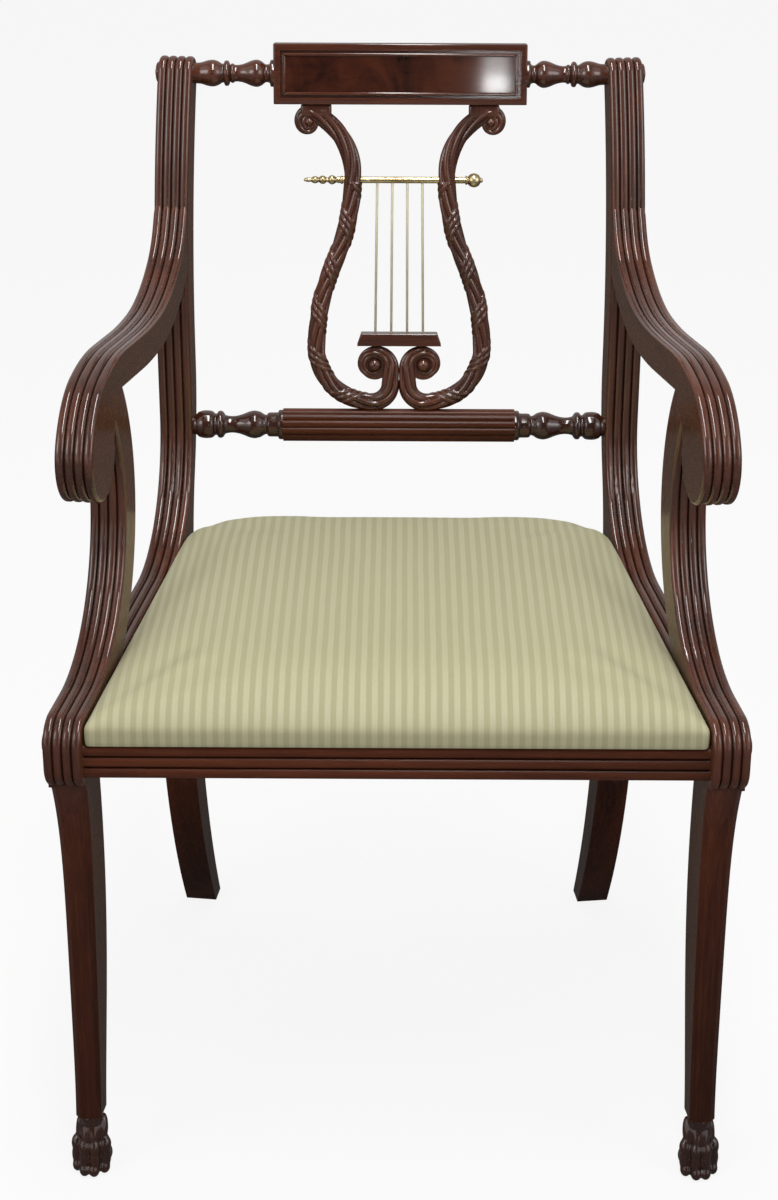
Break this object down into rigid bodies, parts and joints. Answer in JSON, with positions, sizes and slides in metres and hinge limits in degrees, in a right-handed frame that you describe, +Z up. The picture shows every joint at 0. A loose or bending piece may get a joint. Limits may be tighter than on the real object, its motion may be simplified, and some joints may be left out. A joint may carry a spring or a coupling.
{
  "type": "armchair",
  "caption": "Open armchair with reeded scroll arms, sabre legs on paw feet, a lyre back under a turned crest rail, and a striped drop-in seat that lifts out.",
  "frame": {"origin": "on the floor under the centre of the chair's bounding box", "axes": "+Z up, the sitter faces -Y, +X towards the chair's right side as seen from the front"},
  "size_m": [0.5732, 0.5272, 0.8953],
  "materials": {
    "mahogany": "gloss lacquer",
    "figured_mahogany": "gloss lacquer",
    "beech": "sanded",
    "brass": "aged",
    "screw_steel": "zinc plated",
    "striped_fabric": "woven stripe",
    "pad": "felted",
    "webbing": "woven",
    "dust_cloth": "matt"
  },
  "bodies": {
    "frame": {"back_post_left": "mahogany", "back_post_right": "mahogany", "side_rail_left": "mahogany", "side_rail_right": "mahogany", "front_leg_left": "mahogany", "front_leg_right": "mahogany", "arm_left": "mahogany", "arm_right": "mahogany", "arm_support_left": "mahogany", "arm_support_right": "mahogany", "front_seat_rail": "mahogany", "back_seat_rail": "mahogany", "crest_rail": "mahogany", "crest_panel": "figured_mahogany", "crest_bead": "mahogany", "stay_rail": "mahogany", "lyre_arm_left": "mahogany", "lyre_arm_right": "mahogany", "lyre_bridge": "mahogany", "lyre_rod": "brass", "lyre_ball_finial": "brass", "lyre_turned_finial": "brass", "lyre_strings": "brass", "post_bosses": "mahogany", "knee_bosses": "mahogany", "corner_blocks": "beech", "corner_block_screws": "screw_steel", "front_rail_dowels": "beech", "back_rail_dowels": "beech", "side_rail_dowels": "beech", "arm_dowels": "beech", "support_dowels": "beech"},
    "seat": {"seat_frame_front": "beech", "seat_frame_back": "beech", "seat_frame_sides": "beech", "seat_webbing": "webbing", "seat_pad": "pad", "seat_cover": "striped_fabric", "seat_dust_cover": "dust_cloth"}
  },
  "joints": [
    {"name": "seat_lift", "type": "slide", "parent": "frame", "child": "seat", "axis": [0, 0, 1], "range_m": [0, 0.1]}
  ]
}
